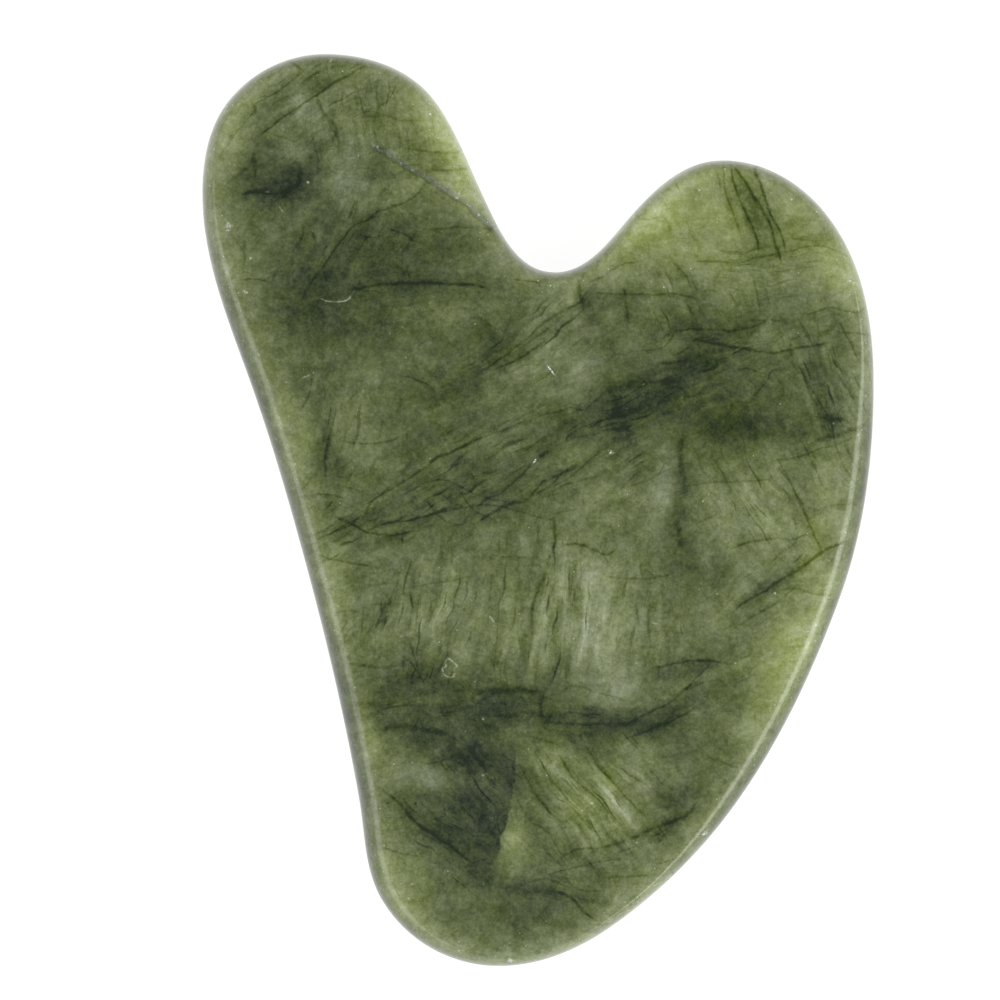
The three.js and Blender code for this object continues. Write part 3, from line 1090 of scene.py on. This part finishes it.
def stone_mesh():
    """The mesh, and each point's distance in from the outline."""
    loop = even_loop(cad_outline(), OUTLINE_POINTS)
    count = len(loop)
    levels, insets = rim_levels(loop)
    faces = band_faces(len(levels), count)

    # The two flat faces share one triangulation
    ring = levels[-1][:, :2]
    inner = face_points(ring)
    flat_points = [Vector(p) for p in np.vstack([ring, inner])]
    edges = [(i, (i + 1) % count) for i in range(count)]
    made = geometry.delaunay_2d_cdt(flat_points, edges, [], 1, 1e-7)
    triangles, origins = made[2], made[3]
    order = np.array([origin[0] for origin in origins])
    inner_inset = gap_to(loop, inner)
    rim_count = len(levels) * count
    for side in (-1, 1):
        wave = smooth_noise(inner[:, 0] / POLISH_WAVE_LENGTH, inner[:, 1] / POLISH_WAVE_LENGTH, side, 5)
        height = MIDDLE_Z + side * (HALF_THICKNESS - POLISH_WAVE * (0.5 + 0.5 * wave))
        levels.append(np.column_stack([inner, height]))
        insets.append(inner_inset)
        ring_start = 0 if side < 0 else rim_count - count
        inner_start = rim_count if side < 0 else rim_count + len(inner)
        number = np.where(order < count, ring_start + order, inner_start + order - count)
        for a, b, c in triangles:
            corners = (int(number[a]), int(number[b]), int(number[c]))
            faces.append(corners if side > 0 else corners[::-1])

    points = np.vstack(levels)
    sink_pits(points)
    mesh = bpy.data.meshes.new("polished_stone")
    mesh.from_pydata(points.tolist(), [], faces)
    mesh.shade_smooth()
    return mesh, np.concatenate(insets) / MM


def store(mesh, name, values):
    """Writes three numbers for each point of the mesh under this name."""
    attribute = mesh.attributes.new(name, "FLOAT_VECTOR", "POINT")
    attribute.data.foreach_set("vector", np.ascontiguousarray(values, dtype=np.float32).ravel())


def paint_stone(mesh, rim):
    """Writes the pattern on the mesh's points. Returns how many layers of veins there are."""
    places = np.zeros(len(mesh.vertices) * 3)
    mesh.vertices.foreach_get("co", places)
    x, y, z = places.reshape(-1, 3).T / MM
    depth = HIGH.z / MM - z
    top = depth < TOP_SHARE * HALF_THICKNESS / MM
    store(mesh, "tone", paint_tone(x, y, depth, rim))
    for number, zones in enumerate(FIBRES):
        store(mesh, f"fibres_{number}", paint_fibres(x, y, depth, zones))
    store(mesh, "flecks", paint_flecks(x, y, top))
    store(mesh, "block", paint_block(x, y, depth))
    crack, scratch = paint_cracks(x, y, top)
    store(mesh, "crack", crack)
    store(mesh, "scratch", scratch)
    layers = paint_veins(x, y, depth)
    for number, values in enumerate(layers):
        store(mesh, f"veins_{number}", values)
    return len(layers)


# ---------------------------------------------------------------- material

def to_linear(value):
    """A screen value from 0 to 255, and not quite black, as linear light from 0 to 1."""
    value = max(value, DARKEST_VALUE) / 255
    return ((value + 0.055) / 1.055) ** 2.4 if value > 0.04045 else value / 12.92


def jade_colour(lightness, warmth):
    """Linear colour of jade of this lightness: warmth is how much yellower it is than usual."""
    colourful = 1 - smooth_step(lightness, *BODY_TO_WHITE)
    body = smooth_step(lightness, *DEEP_TO_BODY)
    yellow = mixed(DEEP_YELLOW, BODY_YELLOW, body) * colourful + warmth
    green = (GREEN + GREEN_PER_WARMTH * warmth) * colourful
    red = lightness - GREEN_AND_BLUE_WEIGHT * green + BLUE_WEIGHT * yellow
    colour = [to_linear(value) for value in (red, red + green, red + green / 2 - yellow)]
    return (*[max(value - SHEEN, DARKEST_LIGHT) for value in colour], 1)


class Graph:
    """Adds nodes to a material and links them. An input may be a number, a vector or a socket."""

    def __init__(self, material):
        self.nodes = material.node_tree.nodes
        self.links = material.node_tree.links

    def feed(self, socket, value):
        if isinstance(value, bpy.types.NodeSocket):
            self.links.new(value, socket)
        else:
            socket.default_value = value

    def math(self, operation, *values, clamp=False):
        node = self.nodes.new("ShaderNodeMath")
        node.operation = operation
        node.use_clamp = clamp
        for socket, value in zip(node.inputs, values):
            self.feed(socket, value)
        return node.outputs[0]

    def vector(self, operation, first, second):
        node = self.nodes.new("ShaderNodeVectorMath")
        node.operation = operation
        self.feed(node.inputs[0], first)
        self.feed(node.inputs["Scale"] if operation == "SCALE" else node.inputs[1], second)
        return node.outputs["Vector"]

    def combine(self, x, y, z):
        node = self.nodes.new("ShaderNodeCombineXYZ")
        for socket, value in zip(node.inputs, (x, y, z)):
            self.feed(socket, value)
        return node.outputs[0]

    def split(self, value):
        node = self.nodes.new("ShaderNodeSeparateXYZ")
        self.feed(node.inputs[0], value)
        return node.outputs

    def attribute(self, name):
        node = self.nodes.new("ShaderNodeAttribute")
        node.attribute_name = name
        return self.split(node.outputs["Vector"])

    def noise(self, place, scale, detail=2.0, roughness=0.5):
        """Noise from about -1 to 1."""
        node = self.nodes.new("ShaderNodeTexNoise")
        self.feed(node.inputs["Vector"], place)
        node.inputs["Scale"].default_value = scale
        node.inputs["Detail"].default_value = detail
        node.inputs["Roughness"].default_value = roughness
        return self.math("MULTIPLY_ADD", node.outputs["Fac"], 4.0, -2.0)

    def drawn_out(self, across, along, layer, scales, detail, roughness=0.5):
        """Noise drawn out along one direction, with its bumps per mm across it and along it."""
        place = self.combine(self.times(across, scales[0]), self.times(along, scales[1]), layer)
        return self.noise(place, 1.0, detail, roughness)

    def cells(self, place, scale, feature="F1", smoothness=0.0):
        """Cells of uneven shape: the node, with each cell's colour and the distance in it."""
        node = self.nodes.new("ShaderNodeTexVoronoi")
        node.feature = feature
        self.feed(node.inputs["Vector"], place)
        node.inputs["Scale"].default_value = scale
        if feature == "SMOOTH_F1":
            node.inputs["Smoothness"].default_value = smoothness
        return node

    def dots(self, place, scale, size_range, soft):
        """1 inside small round dots of many sizes and 0 outside. A size below 0 gives no dot."""
        cells = self.cells(place, scale)
        chance = self.split(cells.outputs["Color"])[0]
        size = self.math("MULTIPLY_ADD", chance, size_range, -0.2)
        return self.ease(self.math("SUBTRACT", size, cells.outputs["Distance"]), 0.0, soft)

    def ease(self, value, start, end, low=0.0, high=1.0):
        """From low to high as the value goes from start to end, smoothly."""
        node = self.nodes.new("ShaderNodeMapRange")
        node.interpolation_type = "SMOOTHSTEP"
        self.feed(node.inputs["Value"], value)
        self.feed(node.inputs["From Min"], start)
        self.feed(node.inputs["From Max"], end)
        self.feed(node.inputs["To Min"], low)
        self.feed(node.inputs["To Max"], high)
        return node.outputs["Result"]

    def add(self, *values):
        total = values[0]
        for value in values[1:]:
            total = self.math("ADD", total, value)
        return total

    def times(self, *values):
        total = values[0]
        for value in values[1:]:
            total = self.math("MULTIPLY", total, value)
        return total

    def lay(self, tone, share, amount):
        """The tone's lightness and warmth, each changed by its part of the amount times the share."""
        return [
            part if change == 0 else self.add(part, self.times(share, change))
            for part, change in zip(tone, amount)
        ]


def tone_ramp(graph, lightness, warmth):
    """Colours of jade of one warmth, looked up by lightness on the 0 to 255 scale."""
    ramp = graph.nodes.new("ShaderNodeValToRGB")
    elements = ramp.color_ramp.elements
    while len(elements) < len(TONE_STOPS):
        elements.new(0.5)
    for element, stop in zip(elements, TONE_STOPS):
        element.position = stop / 255
        element.color = jade_colour(stop, warmth)
    graph.feed(ramp.inputs["Fac"], graph.math("DIVIDE", lightness, 255))
    return ramp.outputs["Color"]


def tone_colour(graph, tone):
    """The colour of each point, mixed by its warmth from a cool ramp and a warm one."""
    light, warm = tone
    mix = graph.nodes.new("ShaderNodeMix")
    mix.data_type = "RGBA"
    span = WARM - COOL
    graph.feed(mix.inputs["Factor"], graph.math("MULTIPLY_ADD", warm, 1 / span, -COOL / span, clamp=True))
    colours = [socket for socket in mix.inputs if socket.type == "RGBA"]
    graph.feed(colours[0], tone_ramp(graph, light, COOL))
    graph.feed(colours[1], tone_ramp(graph, light, WARM))
    return [socket for socket in mix.outputs if socket.type == "RGBA"][0]


def draw_mottling(graph, tone, place):
    """A warped network of soft pale cells, noise of several sizes and a web of hairlines."""
    drift = graph.combine(graph.noise(place, 0.4), graph.noise(place, 0.47), 0.0)
    bent = graph.vector("ADD", place, graph.vector("SCALE", drift, 0.5))
    pebble = graph.cells(bent, 0.62, "SMOOTH_F1", 0.6).outputs["Distance"]
    edge = graph.cells(bent, 0.5, "DISTANCE_TO_EDGE").outputs["Distance"]
    hairline = graph.ease(edge, 0.0, 0.05, 1.0, 0.0)
    web_here = graph.ease(graph.noise(place, 0.5, detail=1.0), -0.1, 0.7)
    tone = graph.lay(tone, graph.math("MULTIPLY_ADD", pebble, -1.0, 0.5), PEBBLES)
    tone = graph.lay(tone, graph.noise(bent, 0.42, detail=3.0, roughness=0.8), MOTTLE)
    tone = graph.lay(tone, graph.noise(place, 1.9, detail=3.0, roughness=0.95), GRAIN)
    tone = graph.lay(tone, graph.noise(place, 0.55, detail=3.0), WARM_DRIFT)
    return graph.lay(tone, graph.times(hairline, web_here), WEB)


def draw_fibres(graph, tone, place):
    """Bands, streaks and dark hairs, drawn out along each zone's own direction."""
    bow = graph.times(graph.noise(place, 0.25), 0.5)
    for number in range(len(FIBRES)):
        across, along, zone = graph.attribute(f"fibres_{number}")[:3]
        across = graph.add(across, bow)
        bands = graph.drawn_out(across, along, 3.0, (0.6, 0.08), detail=1.0)
        streaks = graph.drawn_out(across, along, 0.0, (1.4, 0.14), detail=3.0, roughness=0.6)
        hairs = graph.ease(graph.drawn_out(across, along, 7.0, (2.3, 0.25), detail=1.0), 0.4, 0.95)
        for texture, amount in ((bands, BANDS), (streaks, STREAKS), (hairs, HAIRS)):
            tone = graph.lay(tone, graph.times(zone, texture), amount)
    return tone


def draw_block(graph, tone, place):
    """The toe's dark block with its sharp edge, and the pale block beside it."""
    side, dark, pale = graph.attribute("block")[:3]
    side = graph.add(side, graph.times(graph.noise(place, 1.6), 0.16))
    inside = graph.ease(side, -0.12, 0.1, 1.0, 0.0)
    outside = graph.math("SUBTRACT", 1.0, inside)
    tone = graph.lay(tone, graph.times(inside, dark), DARK_BLOCK)
    return graph.lay(tone, graph.times(outside, pale), PALE_BLOCK)


def vein_darkness(graph, place, layer_count):
    """How dark the veins make each point: a wandering core and a wider, weaker halo."""
    wobble = graph.add(
        graph.times(graph.noise(place, 0.8), 0.07),
        graph.times(graph.noise(place, 2.7), 0.03),
    )
    breaks = graph.ease(graph.noise(place, 1.2, detail=3.0, roughness=0.7), -0.8, 0.7, 0.5, 1.25)
    total = 0.0
    for number in range(layer_count):
        side, force, width = graph.attribute(f"veins_{number}")[:3]
        away = graph.math("ABSOLUTE", graph.add(side, wobble))
        reach = graph.math("DIVIDE", away, width)
        core = graph.ease(reach, 0.0, 1.25, 1.08, 0.0)
        halo = graph.ease(reach, 0.0, 4.5, 0.25, 0.0)
        total = graph.add(total, graph.times(force, graph.add(core, halo)))
    return graph.times(total, breaks)


def draw_flecks(graph, tone, place):
    """The placed flecks, with frayed edges."""
    u, v, force = graph.attribute("flecks")[:3]
    size = graph.math("SQRT", graph.add(graph.times(u, u), graph.times(v, v)))
    size = graph.add(size, graph.times(graph.noise(place, 4.0), 0.6))
    crumbs = graph.ease(graph.noise(place, 5.0, detail=1.0), -0.4, 0.6, 0.3, 1.0)
    return graph.lay(tone, graph.times(graph.ease(size, 0.4, 1.25, 1.0, 0.0), force, crumbs), FLECK)


def draw_crack(graph, tone, place):
    """The healed crack: a grey line with white beads on it, and a darker line along one side."""
    side, force = graph.attribute("crack")[:2]
    side = graph.add(side, graph.times(graph.noise(place, 1.4), 0.11))
    line = graph.times(graph.ease(graph.math("ABSOLUTE", side), 0.04, 0.28, 1.0, 0.0), force)
    beads = graph.ease(graph.noise(place, 2.6), 0.2, 0.9)
    shade_away = graph.math("ABSOLUTE", graph.add(side, 0.3))
    shade = graph.times(graph.ease(shade_away, 0.0, 0.26, 1.0, 0.0), force)
    tone = graph.lay(tone, line, CRACK_GREY)
    tone = graph.lay(tone, graph.times(line, beads), CRACK_BEADS)
    return graph.lay(tone, shade, CRACK_SHADE)


def draw_scratch(graph, tone, place):
    """The white scratch and the pale ring, with weak stretches."""
    side, force = graph.attribute("scratch")[:2]
    side = graph.add(side, graph.times(graph.noise(place, 2.0), 0.03))
    line = graph.ease(graph.math("ABSOLUTE", side), 0.02, 0.12, 1.0, 0.0)
    gaps = graph.ease(graph.noise(place, 3.0, detail=1.0), -0.5, 0.4, 0.4, 1.0)
    return graph.lay(tone, graph.times(line, force, gaps), SCRATCH_WHITE)


def polish(graph, shader, place, veins, specks):
    """A glossy finish, with faint wear and slightly sunk and duller veins and specks."""
    wear = graph.times(graph.noise(place, 0.3, detail=4.0), 0.04)
    dull = graph.add(graph.times(veins, 0.002), graph.times(specks, 0.15))
    graph.feed(shader.inputs["Roughness"], graph.add(0.22, wear, dull))
    shader.inputs["IOR"].default_value = 1.56
    bump = graph.nodes.new("ShaderNodeBump")
    bump.inputs["Strength"].default_value = 0.35
    bump.inputs["Distance"].default_value = 0.02 * MM
    sunk = graph.add(graph.times(veins, -0.04), graph.times(specks, -2.0))
    graph.feed(bump.inputs["Height"], graph.add(graph.noise(place, 1.1, detail=4.0), sunk))
    graph.feed(shader.inputs["Normal"], bump.outputs["Normal"])


def jade_material(layer_count):
    material = bpy.data.materials.new("jade")
    material.use_nodes = True
    graph = Graph(material)
    shader = graph.nodes["Principled BSDF"]
    coordinates = graph.nodes.new("ShaderNodeTexCoord")
    place = graph.vector("SCALE", coordinates.outputs["Object"], 1 / MM)
    light, warm, rim = graph.attribute("tone")[:3]

    # The body of the stone and its veins, held above the darkest jade
    tone = [light, warm]
    for draw in (draw_mottling, draw_fibres, draw_block):
        tone = draw(graph, tone, place)
    veins = vein_darkness(graph, place, layer_count)
    light, warm = graph.lay(tone, veins, VEIN)
    tone = [graph.math("SMOOTH_MAX", light, DARKEST, DARKEST_BLEND), warm]

    # Marks over it
    specks = graph.dots(place, 1.25, 0.32, 0.06)
    # Painted glints: fine sparkle, brightest near the rim
    painted_glints = graph.dots(place, 2.7, 0.44, 0.1)
    speck_light = graph.ease(rim, SPECK_AND_GLINT_RIM, SPECK_REACH, *SPECK_LIGHT)
    painted_glint_light = graph.ease(rim, SPECK_AND_GLINT_RIM, GLINT_REACH, *GLINT_LIGHT)
    tone = graph.lay(tone, specks, (speck_light, SPECK_WARMTH))
    tone = graph.lay(tone, painted_glints, (painted_glint_light, 0))
    for draw in (draw_flecks, draw_crack, draw_scratch):
        tone = draw(graph, tone, place)

    graph.feed(shader.inputs["Base Color"], tone_colour(graph, tone))
    polish(graph, shader, place, veins, specks)
    return material


# ---------------------------------------------------------------- stone

def make_stone():
    """The finished stone, which takes the CAD node's place."""
    mesh, rim = stone_mesh()
    layer_count = paint_stone(mesh, rim)
    stone = bpy.data.objects.new("polished_stone", mesh)
    bpy.context.scene.collection.objects.link(stone)
    mesh.materials.append(jade_material(layer_count))
    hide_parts(NODE)
    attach(stone, "root")


bpy.context.scene.view_settings.view_transform = "Standard"
make_camera()
make_floor()
make_world()
make_softbox("left_softbox", azimuth=208, elevation=44, width=0.5, height=0.5, power=1.6)
make_softbox("right_softbox", azimuth=338, elevation=44, width=0.6, height=0.45, power=3.0)
make_stone()
